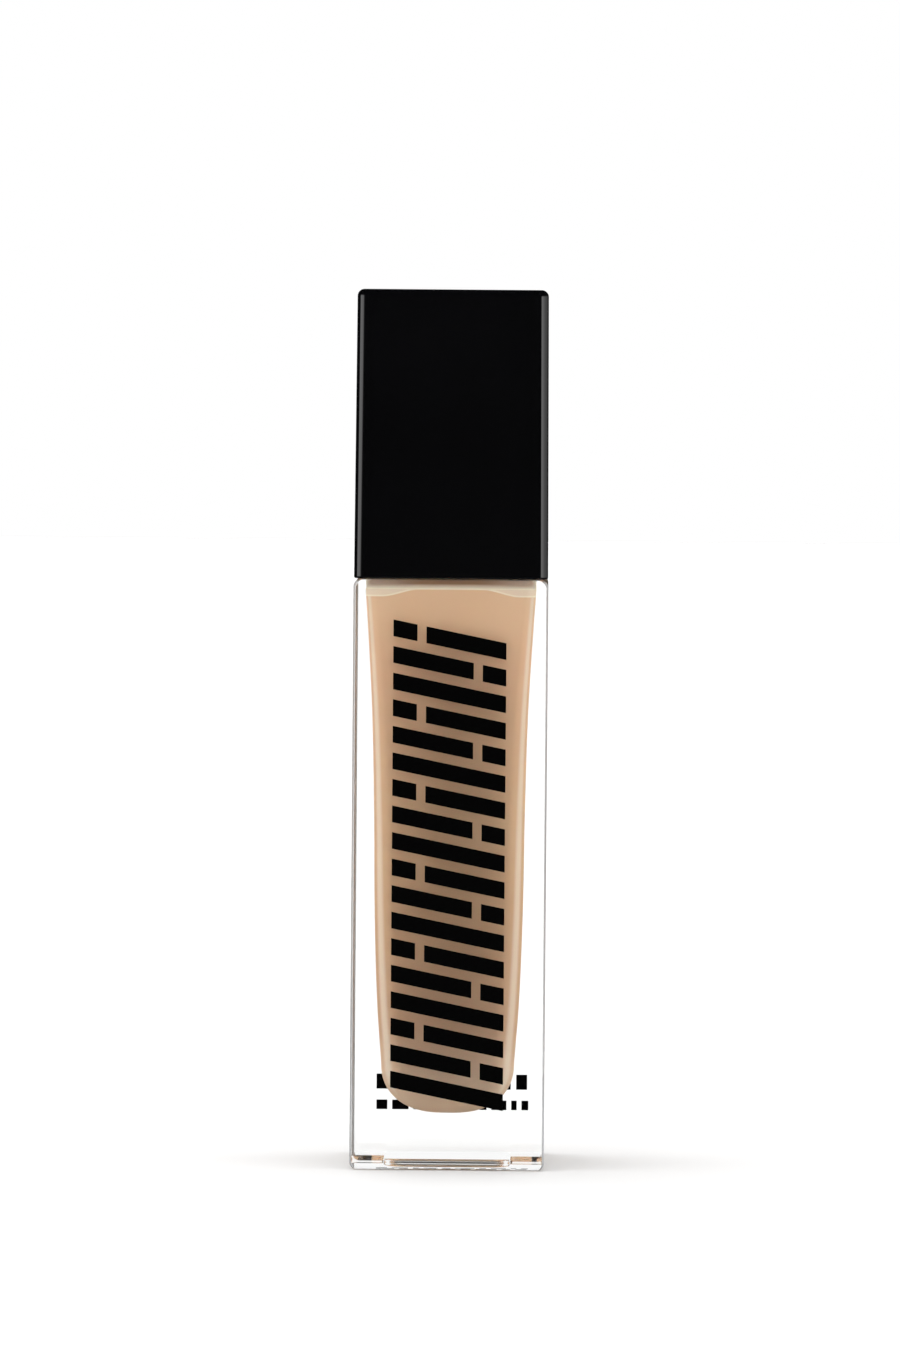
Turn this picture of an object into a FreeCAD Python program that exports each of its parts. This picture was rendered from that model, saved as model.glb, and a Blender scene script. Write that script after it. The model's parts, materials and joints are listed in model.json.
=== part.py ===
import FreeCAD, Part
import math
import os
import types

import Sketcher

# Foundation bottle: a square, heavy-based glass bottle with a screw-on treatment pump under a tall
# square push-on cap. Millimetres, +Z up, front face towards -Y, origin at the middle of the base.

os.makedirs("parts", exist_ok=True)
doc = FreeCAD.newDocument("FoundationBottle")

# ---------------------------------------------------------------- driving dimensions

DIMENSIONS = {
    # glass bottle
    "glass_half": 14.0,            # half the width and half the depth
    "glass_height": 85.0,          # foot to shoulder
    "glass_corner": 1.2,           # upright edges
    "shoulder_round": 1.0,
    "foot_round": 1.1,
    "punt_half": 9.2,              # recess under the base
    "punt_corner": 2.6,
    "punt_depth": 1.3,
    "punt_round": 0.4,
    # chamber inside the glass: a bowl, then half widths at seven heights up to the shoulder
    "chamber_floor_z": 7.65,
    "chamber_rim_z": 15.2,         # top of the bowl
    "chamber_low_z": 24.0,
    "chamber_mid_z": 36.0,
    "chamber_high_z": 52.0,
    "chamber_upper_z": 66.0,
    "chamber_top_z": 78.5,
    "chamber_roof_z": 84.2,
    "chamber_rim_half": 9.5,
    "chamber_low_half": 10.13,
    "chamber_mid_half": 10.55,
    "chamber_high_half": 10.76,
    "chamber_upper_half": 11.12,
    "chamber_top_half": 11.82,
    "chamber_roof_half": 12.16,
    "chamber_rim_corner": 3.2,     # upright edges, sharper towards the shoulder
    "chamber_roof_corner": 1.4,
    "chamber_roof_round": 0.8,
    "throat_round": 1.6,           # where the chamber meets the neck bore
    "fill_gap": 0.02,              # between the liquid and the glass
    "fill_clearance": 0.12,        # between the liquid and the pump
    # neck finish, 18 mm with a 415 thread
    "neck_radius": 7.85,
    "neck_bore": 5.0,
    "neck_height": 15.6,
    "neck_foot_round": 1.0,
    "neck_lip_round": 0.6,
    "thread_pitch": 3.175,
    "thread_radius": 8.85,
    "neck_thread_start": 6.2,      # above the shoulder
    "neck_thread_turns": 2.0,
    "neck_thread_base": 1.9,       # axial width at the root
    "neck_thread_crest": 0.8,
    "thread_bite": 0.3,            # how far a thread runs into its wall
    # screw closure and its outer sleeve
    "closure_gap": 0.6,            # skirt above the shoulder
    "closure_wall": 9.1,           # inner radius of the skirt
    "closure_radius": 10.1,
    "closure_crest": 8.1,          # inner radius at the thread crest
    "closure_thread_turns": 1.5,
    "closure_thread_base": 1.5,
    "closure_thread_crest": 0.6,
    "closure_thread_gap": 0.12,    # axial play on the loaded flank
    "closure_top": 1.3,
    "closure_mouth": 5.45,
    "sleeve_inner": 10.15,
    "sleeve_radius": 10.7,
    "sleeve_top": 0.42,
    "sleeve_round": 0.35,
    # pump body
    "gasket_thickness": 1.0,
    "gasket_inner": 4.8,
    "gasket_radius": 7.6,
    "flange_thickness": 1.2,
    "flange_radius": 7.7,
    "barrel_radius": 4.5,
    "barrel_bore": 3.6,
    "barrel_floor_z": 80.5,
    "barrel_cone": 1.4,            # height of the taper above the ball seat
    "ball_room_radius": 1.9,
    "ball_room_depth": 2.5,
    "inlet_radius": 0.9,
    "spigot_radius": 2.6,
    "spigot_length": 9.0,          # below the ball seat
    "socket_radius": 1.62,
    "socket_depth": 5.5,
    "vent_radius": 0.35,
    "vent_z": 96.0,
    "tube_radius": 1.6,
    "tube_bore": 1.1,
    "tube_clearance": 1.3,         # end of the dip tube above the chamber floor
    "turret_radius": 5.2,
    "turret_bore": 3.9,
    "turret_height": 3.8,          # above the sleeve
    "turret_bead": 5.75,
    "turret_bead_width": 0.45,
    "turret_bead_gap": 0.12,       # above the sleeve
    "guide_drop": 0.2,             # top of the guide below the sleeve
    "guide_radius": 2.08,
    "guide_low_z": 99.05,
    "plug_radius": 3.56,
    # ball valve, spring and piston
    "ball_radius": 1.5,
    "cage_radius": 3.56,
    "cage_thickness": 0.8,
    "cage_hub": 1.9,
    "cage_hub_height": 1.0,
    "cage_hole": 0.45,
    "cage_hole_ring": 1.3,
    "spring_radius": 2.62,
    "spring_wire": 0.25,
    "spring_turns": 7.0,
    "spring_length": 10.0,
    "head_radius": 2.9,
    "head_thickness": 1.1,
    "shank_radius": 0.95,
    "shank_length": 3.6,
    "shank_flat": 0.5,
    "seat_gap": 0.6,               # plug head to the end of the stem
    "piston_height": 5.0,
    "piston_waist": 3.1,
    "piston_lip": 3.57,
    "piston_lip_height": 1.1,
    "piston_bevel": 0.4,
    "piston_edge": 0.15,
    "piston_inner": 1.76,
    "piston_slip": 0.9,
    "stem_low_radius": 1.7,
    "stem_radius": 2.0,
    "stem_bore": 1.0,
    "stem_flange": 2.7,
    "stem_flange_thickness": 0.7,
    "stem_top_z": 113.0,
    "running_gap": 0.02,
    # push-down head
    "stroke": 4.5,
    "stop_gap": 0.3,
    "shell_radius": 7.6,
    "shell_wall": 0.7,
    "shell_height": 10.6,
    "shell_dish": 0.6,
    "shell_rim": 1.4,
    "shell_round": 0.7,
    "core_flange": 6.85,
    "core_flange_z": 117.0,
    "core_flange_thickness": 1.3,
    "post_radius": 3.3,
    "socket_fit": 2.02,
    "nozzle_z": 115.2,
    "nozzle_radius": 1.75,
    "nozzle_reach": 10.3,
    "nozzle_bore": 0.85,
    "nozzle_window": 1.85,
    "insert_radius": 1.2,
    "insert_length": 1.8,
    "orifice_radius": 0.65,
    # cap
    "cap_gap": 0.15,               # rim above the shoulder
    "cap_half_low": 13.95,
    "cap_draft": 0.318,            # degrees, narrower towards the top
    "cap_height": 41.55,
    "cap_corner": 1.05,
    "cap_top_round": 1.0,
    "cap_rim_round": 0.3,
    "cap_inner_half": 12.4,
    "cap_inner_corner": 1.2,
    "cap_top_wall": 1.6,
    "liner_half": 12.36,
    "liner_corner": 1.2,
    "liner_plate": 1.1,
    "liner_inset": 0.5,            # plate above the cap's rim
    "liner_bore": 11.0,
    "liner_radius": 11.8,
    "liner_height": 18.6,
    "grip_depth": 0.2,
    "grip_root": 0.2,              # how far a rib runs into the tube
    "grip_width": 1.0,
    "grip_count": 8,
    # printed marks and base label
    "ink": 0.03,
    "bar_thickness": 2.4,
    "bar_pitch": 3.822,
    "bar_slope": 0.203,            # fall per millimetre towards +X
    "bar_left": 8.2,
    "bar_right": 8.05,
    "bar_low_z": 11.92,            # lower left corner of the lowest bar
    "bar_break": 1.3,
    "bar_groups": 6,
    "dash_tall": 2.2,
    "dash_tall_z": 10.1,
    "dash_small": 1.4,
    "dash_small_z": 7.1,
    "dash_left": 10.5,
    "label_half": 8.5,
    "label_corner": 2.0,
    "label_thickness": 0.08,
}

sheet = doc.addObject("Spreadsheet::Sheet", "Dims")
for row, (alias, number) in enumerate(DIMENSIONS.items(), start=1):
    sheet.set("A%d" % row, alias)
    sheet.set("B%d" % row, str(number))
    sheet.setAlias("B%d" % row, alias)
doc.recompute()


class Size:
    """A number that also carries the sheet expression it comes from."""

    def __init__(self, value, text):
        self.value = value
        self.text = text

    def combine(self, other, sign, result):
        return Size(result, "(%s %s %s)" % (self.text, sign, other.text))

    def __add__(self, other):
        other = as_size(other)
        return self.combine(other, "+", self.value + other.value)

    def __sub__(self, other):
        other = as_size(other)
        return self.combine(other, "-", self.value - other.value)

    def __mul__(self, other):
        other = as_size(other)
        return self.combine(other, "*", self.value * other.value)

    def __truediv__(self, other):
        other = as_size(other)
        return self.combine(other, "/", self.value / other.value)

    def __neg__(self):
        return Size(-self.value, "(0 - %s)" % self.text)


def as_size(number):
    return number if isinstance(number, Size) else Size(number, "%g" % number)


dims = types.SimpleNamespace(**{
    alias: Size(number, "Dims.%s" % alias) for alias, number in DIMENSIONS.items()
})

# Heights that follow from the stack of parts.
shoulder_z = dims.glass_height
neck_top_z = shoulder_z + dims.neck_height
flange_low_z = neck_top_z + dims.gasket_thickness
flange_top_z = flange_low_z + dims.flange_thickness
closure_low_z = shoulder_z + dims.closure_gap
closure_lip_z = flange_top_z + dims.running_gap
closure_top_z = closure_lip_z + dims.closure_top
sleeve_top_z = closure_top_z + dims.running_gap + dims.sleeve_top
shell_low_z = sleeve_top_z + dims.stroke + dims.stop_gap
shell_top_z = shell_low_z + dims.shell_height
seat_top_z = dims.barrel_floor_z - dims.ball_room_depth
seat_low_z = seat_top_z - (dims.ball_room_radius - dims.inlet_radius)
spring_low_z = dims.barrel_floor_z + dims.cage_thickness
head_low_z = spring_low_z + dims.spring_length
head_top_z = head_low_z + dims.head_thickness
piston_low_z = head_top_z + dims.running_gap
piston_top_z = piston_low_z + dims.piston_height
stem_flange_low_z = piston_top_z + dims.piston_slip + dims.running_gap
stem_flange_top_z = stem_flange_low_z + dims.stem_flange_thickness
cap_low_z = shoulder_z + dims.cap_gap
cap_top_z = cap_low_z + dims.cap_height

# ---------------------------------------------------------------- modelling helpers

NEAR = 1e-4      # two sizes this close are the same
SLACK = 0.02     # room for a bounding box that is a little large


def bind(target, name, size):
    """Tie a property of the target to the sheet."""
    target.setExpression(name, as_size(size).text)


def new_body(label):
    body = doc.addObject("PartDesign::Body", label)
    body.Label = label
    body.AllowCompound = True
    return body


def new_sketch(body, name, role, height=None):
    """A sketch on one of the body's origin planes, moved along the plane's normal by height."""
    sketch = body.newObject("Sketcher::SketchObject", name)
    plane = [item for item in body.Origin.OriginFeatures if item.Role == role][0]
    sketch.AttachmentSupport = [(plane, "")]
    sketch.MapMode = "FlatFace"
    if height is not None:
        bind(sketch, "AttachmentOffset.Base.z", height)
    return sketch


def place_point(sketch, geometry, across, up):
    """Hold the start point of a line at two sheet sizes measured from the sketch's origin."""
    for kind, axis, size in (("DistanceX", -2, across), ("DistanceY", -1, up)):
        if abs(size.value) < NEAR:
            sketch.addConstraint(Sketcher.Constraint("PointOnObject", geometry, 1, axis))
        else:
            index = sketch.addConstraint(
                Sketcher.Constraint(kind, -1, 1, geometry, 1, size.value))
            bind(sketch, "Constraints[%d]" % index, size)


def polygon(sketch, corners):
    """A closed polygon whose corners are pairs of sizes."""
    corners = [(as_size(across), as_size(up)) for across, up in corners]
    points = [FreeCAD.Vector(across.value, up.value, 0) for across, up in corners]
    first = sketch.GeometryCount
    count = len(corners)
    for index in range(count):
        line = Part.LineSegment(points[index], points[(index + 1) % count])
        sketch.addGeometry(line, False)
    for index in range(count):
        follower = first + (index + 1) % count
        sketch.addConstraint(
            Sketcher.Constraint("Coincident", first + index, 2, follower, 1))
    for index, (across, up) in enumerate(corners):
        place_point(sketch, first + index, across, up)


def circle(sketch, across, up, radius):
    across, up, radius = as_size(across), as_size(up), as_size(radius)
    centre = FreeCAD.Vector(across.value, up.value, 0)
    index = sketch.addGeometry(
        Part.Circle(centre, FreeCAD.Vector(0, 0, 1), radius.value), False)
    rule = sketch.addConstraint(Sketcher.Constraint("Radius", index, radius.value))
    bind(sketch, "Constraints[%d]" % rule, radius)
    for kind, axis, size in (("DistanceX", -2, across), ("DistanceY", -1, up)):
        if abs(size.value) < NEAR:
            sketch.addConstraint(Sketcher.Constraint("PointOnObject", index, 3, axis))
        else:
            rule = sketch.addConstraint(Sketcher.Constraint(kind, -1, 1, index, 3, size.value))
            bind(sketch, "Constraints[%d]" % rule, size)


def rounded_square(sketch, half, corner):
    """A square about the sketch's origin: four sides joined by four tangent quarter circles."""
    half, corner = as_size(half), as_size(corner)
    reach = half.value - corner.value
    for quarter in range(4):
        turn = FreeCAD.Rotation(FreeCAD.Vector(0, 0, 1), 90 * quarter)
        start = turn.multVec(FreeCAD.Vector(half.value, -reach, 0))
        end = turn.multVec(FreeCAD.Vector(half.value, reach, 0))
        centre = turn.multVec(FreeCAD.Vector(reach, reach, 0))
        sketch.addGeometry(Part.LineSegment(start, end), False)
        bend = Part.Circle(centre, FreeCAD.Vector(0, 0, 1), corner.value)
        low = math.radians(90 * quarter)
        sketch.addGeometry(Part.ArcOfCircle(bend, low, low + math.pi / 2), False)
    for quarter in range(4):
        side, arc, following = 2 * quarter, 2 * quarter + 1, (2 * quarter + 2) % 8
        sketch.addConstraint(Sketcher.Constraint("Tangent", side, 2, arc, 1))
        sketch.addConstraint(Sketcher.Constraint("Tangent", arc, 2, following, 1))
        upright = quarter % 2 == 0
        sketch.addConstraint(Sketcher.Constraint("Vertical" if upright else "Horizontal", side))
        if quarter:
            sketch.addConstraint(Sketcher.Constraint("Equal", 1, arc))
        positive = quarter in (0, 1)
        kind = "DistanceX" if upright else "DistanceY"
        ends = (-1, 1, side, 1) if positive else (side, 1, -1, 1)
        rule = sketch.addConstraint(Sketcher.Constraint(kind, *ends, half.value))
        bind(sketch, "Constraints[%d]" % rule, half)
    rule = sketch.addConstraint(Sketcher.Constraint("Radius", 1, corner.value))
    bind(sketch, "Constraints[%d]" % rule, corner)


def revolve(body, name, corners, kind="PartDesign::Revolution"):
    """Turn a closed polygon of (radius, height) corners about Z: a Revolution or a Groove."""
    sketch = new_sketch(body, name + "Profile", "XZ_Plane")
    polygon(sketch, corners)
    feature = body.newObject(kind, name)
    feature.Profile = sketch
    feature.ReferenceAxis = (sketch, ["V_Axis"])
    feature.Angle = 360.0
    doc.recompute()
    return feature


def turned(label, corners):
    """A body that is one turned ring or rod."""
    body = new_body(label)
    revolve(body, label.title().replace("_", "") + "Ring", corners)
    return body


def pad(body, sketch, name, length, taper=0.0):
    feature = body.newObject("PartDesign::Pad", name)
    feature.Profile = sketch
    bind(feature, "Length", length)
    feature.TaperAngle = taper
    doc.recompute()
    return feature


def pocket(body, sketch, name, length):
    """Cut from the sketch along its own normal, up from XY and forwards from XZ."""
    volume = body.Shape.Volume
    feature = body.newObject("PartDesign::Pocket", name)
    feature.Profile = sketch
    feature.Reversed = True
    bind(feature, "Length", length)
    doc.recompute()
    if not NEAR < body.Shape.Volume < volume - NEAR:
        raise RuntimeError("%s cuts nothing, or everything" % name)
    return feature


def fillet(body, name, radius, test):
    """Round the edges of the body's tip whose bounding boxes pass the test."""
    base = body.Tip
    names = [
        "Edge%d" % number
        for number, edge in enumerate(base.Shape.Edges, start=1) if test(edge.BoundBox)
    ]
    if not names:
        raise RuntimeError("%s finds no edge" % name)
    feature = body.newObject("PartDesign::Fillet", name)
    feature.Base = (base, names)
    bind(feature, "Radius", radius)
    doc.recompute()
    return feature


def level(height, least=0.0, most=1e3):
    """Test for edges that lie flat at a height and reach a distance from the Z axis."""
    def test(box):
        flat = abs(box.ZMin - height) < SLACK and abs(box.ZMax - height) < SLACK
        reach = max(abs(box.XMin), abs(box.XMax), abs(box.YMin), abs(box.YMax))
        return flat and least - SLACK <= reach <= most + SLACK
    return test


def upright(least):
    """Test for steep edges at least so long."""
    return lambda box: box.ZLength > least


def helix(body, name, profile, turns, kind="PartDesign::AdditiveHelix", pitch=None):
    """Sweep a profile sketch up a right-handed helix about Z."""
    pitch = dims.thread_pitch if pitch is None else pitch
    feature = body.newObject(kind, name)
    feature.Profile = profile
    feature.ReferenceAxis = (profile, ["V_Axis"])
    feature.Mode = "pitch-turns-angle"
    bind(feature, "Pitch", pitch)
    bind(feature, "Turns", turns)
    feature.LeftHanded = False
    feature.Reversed = False
    doc.recompute()
    return feature


def thread_profile(body, name, root, crest, middle_z, base_width, crest_width):
    """A trapezium that stands on a wall of radius root and points at radius crest."""
    sketch = new_sketch(body, name, "XZ_Plane")
    outward = crest.value > root.value
    inner = root - dims.thread_bite if outward else root + dims.thread_bite
    polygon(sketch, [
        (inner, middle_z - base_width / 2),
        (root, middle_z - base_width / 2),
        (crest, middle_z - crest_width / 2),
        (crest, middle_z + crest_width / 2),
        (root, middle_z + base_width / 2),
        (inner, middle_z + base_width / 2),
    ])
    return sketch


# ---------------------------------------------------------------- glass bottle and contents

BOWL_ANGLES = (78, 64, 50, 36, 22, 10)    # sections round the bowl, from its floor to its rim
BOWL_POWER = 2 / 2.3                      # the bowl is a little fuller than an ellipse
ROOF_ANGLES = (0, 22.5, 45, 67.5, 90)


def bowl_stations(floor_z):
    """Sections of the bowl that the chamber ends in, each a height, a half width and a corner."""
    depth = dims.chamber_rim_z - floor_z
    stations = []
    for angle in BOWL_ANGLES:
        across = math.cos(math.radians(angle)) ** BOWL_POWER
        down = math.sin(math.radians(angle)) ** BOWL_POWER
        stations.append((
            dims.chamber_rim_z - depth * down,
            dims.chamber_rim_half * across,
            dims.chamber_rim_corner * across))
    return stations


def wall_stations():
    """Sections of the chamber's wall; its corners sharpen steadily on the way up."""
    rise = dims.chamber_roof_z - dims.chamber_rim_z
    loss = dims.chamber_rim_corner - dims.chamber_roof_corner
    stations = []
    for name in ("rim", "low", "mid", "high", "upper", "top"):
        height = getattr(dims, "chamber_%s_z" % name)
        corner = dims.chamber_rim_corner - loss * ((height - dims.chamber_rim_z) / rise)
        stations.append((height, getattr(dims, "chamber_%s_half" % name), corner))
    return stations


def roof_stations(roof_z):
    """Sections of the quarter round under the chamber's roof."""
    radius = dims.chamber_roof_round
    stations = []
    for angle in ROOF_ANGLES:
        shrink = radius * (1 - math.cos(math.radians(angle)))
        drop = radius * (1 - math.sin(math.radians(angle)))
        corner = dims.chamber_roof_corner - shrink * 0.6
        stations.append((roof_z - drop, dims.chamber_roof_half - shrink, corner))
    return stations


def chamber_form(label, inset, with_bore):
    """The chamber's shape as a solid: a lofted rounded square, with the neck bore if asked."""
    body = new_body(label)
    roof_z = dims.chamber_roof_z - inset
    stations = bowl_stations(dims.chamber_floor_z + inset) + wall_stations() + roof_stations(roof_z)
    sections = []
    for height, half, corner in stations:
        section = new_sketch(body, "%sSection%d" % (label, len(sections)), "XY_Plane", height)
        rounded_square(section, half - inset, corner - inset)
        sections.append(section)
    doc.recompute()
    loft = body.newObject("PartDesign::AdditiveLoft", label + "Loft")
    loft.Profile = sections[0]
    loft.Sections = sections[1:]
    doc.recompute()
    if with_bore:
        revolve(body, label + "Bore", [
            (0, roof_z - 2),
            (dims.neck_bore, roof_z - 2),
            (dims.neck_bore, neck_top_z + 1),
            (0, neck_top_z + 1),
        ])
        throat = dims.neck_bore.value
        fillet(body, label + "Throat", dims.throat_round, level(roof_z.value, throat, throat))
    return body


def glass_bottle():
    blank = new_body("GlassBlank")
    plan = new_sketch(blank, "GlassPlan", "XY_Plane")
    rounded_square(plan, dims.glass_half, dims.glass_corner)
    pad(blank, plan, "GlassBlock", dims.glass_height)
    fillet(blank, "ShoulderRound", dims.shoulder_round, level(dims.glass_height.value))
    fillet(blank, "FootRound", dims.foot_round, level(0.0))

    revolve(blank, "Neck", [
        (0, shoulder_z - 1),
        (dims.neck_radius, shoulder_z - 1),
        (dims.neck_radius, neck_top_z),
        (0, neck_top_z),
    ])
    neck = dims.neck_radius.value
    fillet(blank, "NeckFoot", dims.neck_foot_round, level(shoulder_z.value, neck, neck))
    fillet(blank, "NeckLip", dims.neck_lip_round, level(neck_top_z.value))

    profile = thread_profile(
        blank, "NeckThreadProfile", dims.neck_radius, dims.thread_radius,
        shoulder_z + dims.neck_thread_start, dims.neck_thread_base, dims.neck_thread_crest)
    helix(blank, "NeckThread", profile, dims.neck_thread_turns)

    punt = new_sketch(blank, "PuntPlan", "XY_Plane")
    rounded_square(punt, dims.punt_half, dims.punt_corner)
    pocket(blank, punt, "Punt", dims.punt_depth)
    fillet(blank, "PuntRound", dims.punt_round, level(dims.punt_depth.value))
    fillet(blank, "PuntRim", dims.punt_round, level(0.0, 0, dims.punt_half.value))

    chamber = chamber_form("ChamberCore", as_size(0), True)
    glass = doc.addObject("Part::Cut", "glass_bottle")
    glass.Base = blank
    glass.Tool = chamber
    doc.recompute()
    return glass


def foundation_fill():
    """The liquid, with the space that the pump body and the dip tube take up in it."""
    fill = chamber_form("foundation_fill", dims.fill_gap, False)
    gap = dims.fill_clearance
    tube = dims.tube_radius + gap
    spigot = dims.spigot_radius + gap
    barrel = dims.barrel_radius + gap
    spigot_low_z = seat_low_z - dims.spigot_length - gap
    revolve(fill, "PumpSpace", [
        (0, dims.chamber_floor_z - 1),
        (tube, dims.chamber_floor_z - 1),
        (tube, spigot_low_z),
        (spigot, spigot_low_z),
        (spigot, seat_low_z - gap),
        (barrel, seat_top_z + dims.barrel_cone - gap),
        (barrel, dims.chamber_roof_z + 1),
        (0, dims.chamber_roof_z + 1),
    ], "PartDesign::Groove")
    return fill


# ---------------------------------------------------------------- pump body


def pump_housing():
    spigot_low_z = seat_low_z - dims.spigot_length
    tube_stop_z = spigot_low_z + dims.socket_depth
    housing = turned("pump_housing", [
        (dims.barrel_bore, flange_top_z),
        (dims.flange_radius, flange_top_z),
        (dims.flange_radius, flange_low_z),
        (dims.barrel_radius, flange_low_z),
        (dims.barrel_radius, seat_top_z + dims.barrel_cone),
        (dims.spigot_radius, seat_low_z),
        (dims.spigot_radius, spigot_low_z),
        (dims.socket_radius, spigot_low_z),
        (dims.socket_radius, tube_stop_z),
        (dims.inlet_radius, tube_stop_z),
        (dims.inlet_radius, seat_low_z),
        (dims.ball_room_radius, seat_top_z),
        (dims.ball_room_radius, dims.barrel_floor_z),
        (dims.barrel_bore, dims.barrel_floor_z),
    ])
    vent = new_sketch(housing, "VentPlan", "XZ_Plane")
    circle(vent, 0, dims.vent_z, dims.vent_radius)
    pocket(housing, vent, "Vent", dims.barrel_radius + 1)
    return housing


def neck_gasket():
    return turned("neck_gasket", [
        (dims.gasket_inner, neck_top_z + dims.running_gap),
        (dims.gasket_radius, neck_top_z + dims.running_gap),
        (dims.gasket_radius, flange_low_z),
        (dims.gasket_inner, flange_low_z),
    ])


def turret_ring():
    """Plugs the top of the barrel, guides the stem and stands up round it under the head."""
    bead_low_z = sleeve_top_z + dims.turret_bead_gap
    bead_top_z = bead_low_z + dims.turret_bead_width
    guide_top_z = sleeve_top_z - dims.guide_drop
    turret_top_z = sleeve_top_z + dims.turret_height
    return turned("turret_ring", [
        (dims.guide_radius, dims.guide_low_z),
        (dims.plug_radius, dims.guide_low_z),
        (dims.plug_radius, flange_top_z),
        (dims.turret_radius, flange_top_z),
        (dims.turret_radius, bead_low_z),
        (dims.turret_bead, bead_low_z),
        (dims.turret_bead, bead_top_z),
        (dims.turret_radius, bead_top_z),
        (dims.turret_radius, turret_top_z),
        (dims.turret_bore, turret_top_z),
        (dims.turret_bore, guide_top_z),
        (dims.guide_radius, guide_top_z),
    ])


def dip_tube():
    top_z = seat_low_z - dims.spigot_length + dims.socket_depth
    low_z = dims.chamber_floor_z + dims.tube_clearance
    return turned("dip_tube", [
        (dims.tube_bore, low_z),
        (dims.tube_radius, low_z),
        (dims.tube_radius, top_z),
        (dims.tube_bore, top_z),
    ])


def ball_cage():
    """Keeps the ball near its seat and carries the foot of the spring."""
    low_z = dims.barrel_floor_z
    plate_z = spring_low_z
    cage = turned("ball_cage", [
        (0, low_z),
        (dims.cage_radius, low_z),
        (dims.cage_radius, plate_z),
        (dims.cage_hub, plate_z),
        (dims.cage_hub, plate_z + dims.cage_hub_height),
        (0, plate_z + dims.cage_hub_height),
    ])
    plan = new_sketch(cage, "CageHoles", "XY_Plane", low_z - 1)
    for across, up in ((1, 0), (0, 1), (-1, 0), (0, -1)):
        circle(plan, dims.cage_hole_ring * across, dims.cage_hole_ring * up, dims.cage_hole)
    pocket(cage, plan, "CageWays", dims.cage_thickness + dims.cage_hub_height + 2)
    return cage


def check_ball():
    """Rests on the 45 degree seat: its centre is root two radii above the cone's apex."""
    ball = doc.addObject("Part::Sphere", "check_ball")
    bind(ball, "Radius", dims.ball_radius)
    apex_z = seat_low_z - dims.inlet_radius
    centre_z = apex_z + dims.ball_radius * math.sqrt(2.0) + dims.running_gap
    bind(ball, "Placement.Base.z", centre_z)
    return ball


def return_spring():
    spring = new_body("return_spring")
    wire = new_sketch(spring, "SpringWire", "XZ_Plane")
    circle(wire, dims.spring_radius, spring_low_z + dims.spring_wire + dims.running_gap,
           dims.spring_wire)
    rise = dims.spring_length - dims.spring_wire * 2 - dims.running_gap * 2
    helix(spring, "SpringCoil", wire, dims.spring_turns, pitch=rise / dims.spring_turns)
    return spring


# ---------------------------------------------------------------- plunger


def stem_plug():
    plug = turned("stem_plug", [
        (0, head_low_z),
        (dims.head_radius, head_low_z),
        (dims.head_radius, head_top_z),
        (dims.shank_radius, head_top_z),
        (dims.shank_radius, head_top_z + dims.shank_length),
        (0, head_top_z + dims.shank_length),
    ])
    flats = new_sketch(plug, "ShankFlats", "XY_Plane", head_top_z)
    for side in (1, -1):
        near, far = dims.shank_flat * side, dims.shank_radius * (2 * side)
        polygon(flats, [
            (near, -dims.shank_radius * 2),
            (far, -dims.shank_radius * 2),
            (far, dims.shank_radius * 2),
            (near, dims.shank_radius * 2),
        ])
    pocket(plug, flats, "FlowFlats", dims.shank_length + 1)
    return plug


def pump_stem():
    low_z = head_top_z + dims.seat_gap
    return turned("pump_stem", [
        (dims.stem_bore, low_z),
        (dims.stem_low_radius, low_z),
        (dims.stem_low_radius, stem_flange_low_z),
        (dims.stem_flange, stem_flange_low_z),
        (dims.stem_flange, stem_flange_top_z),
        (dims.stem_radius, stem_flange_top_z),
        (dims.stem_radius, dims.stem_top_z),
        (dims.stem_bore, dims.stem_top_z),
    ])


def piston():
    """Two sealing lips joined by a waist."""
    lip = dims.piston_lip_height
    inner_end = lip + dims.piston_bevel
    return turned("piston", [
        (dims.piston_inner, piston_low_z),
        (dims.piston_waist, piston_low_z),
        (dims.piston_lip, piston_low_z + dims.piston_edge),
        (dims.piston_lip, piston_low_z + lip),
        (dims.piston_waist, piston_low_z + inner_end),
        (dims.piston_waist, piston_top_z - inner_end),
        (dims.piston_lip, piston_top_z - lip),
        (dims.piston_lip, piston_top_z - dims.piston_edge),
        (dims.piston_waist, piston_top_z),
        (dims.piston_inner, piston_top_z),
    ])


# ---------------------------------------------------------------- screw closure


def screw_closure():
    closure = turned("screw_closure", [
        (dims.closure_wall, closure_low_z),
        (dims.closure_radius, closure_low_z),
        (dims.closure_radius, closure_top_z),
        (dims.closure_mouth, closure_top_z),
        (dims.closure_mouth, closure_lip_z),
        (dims.closure_wall, closure_lip_z),
    ])
    # The closure's thread lies under the neck's, a little clear of its lower flank.
    drop = dims.neck_thread_base / 2 + dims.closure_thread_crest / 2 + dims.closure_thread_gap
    start_z = shoulder_z + dims.neck_thread_start + dims.thread_pitch - drop
    profile = thread_profile(
        closure, "ClosureThreadProfile", dims.closure_wall, dims.closure_crest,
        start_z, dims.closure_thread_base, dims.closure_thread_crest)
    helix(closure, "ClosureThread", profile, dims.closure_thread_turns)
    return closure


def collar_sleeve():
    sleeve = turned("collar_sleeve", [
        (dims.sleeve_inner, closure_low_z),
        (dims.sleeve_radius, closure_low_z),
        (dims.sleeve_radius, sleeve_top_z),
        (dims.closure_mouth, sleeve_top_z),
        (dims.closure_mouth, sleeve_top_z - dims.sleeve_top),
        (dims.sleeve_inner, sleeve_top_z - dims.sleeve_top),
    ])
    outer = dims.sleeve_radius.value
    fillet(sleeve, "SleeveRound", dims.sleeve_round, level(sleeve_top_z.value, outer, outer))
    return sleeve


# ---------------------------------------------------------------- push-down head


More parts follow.
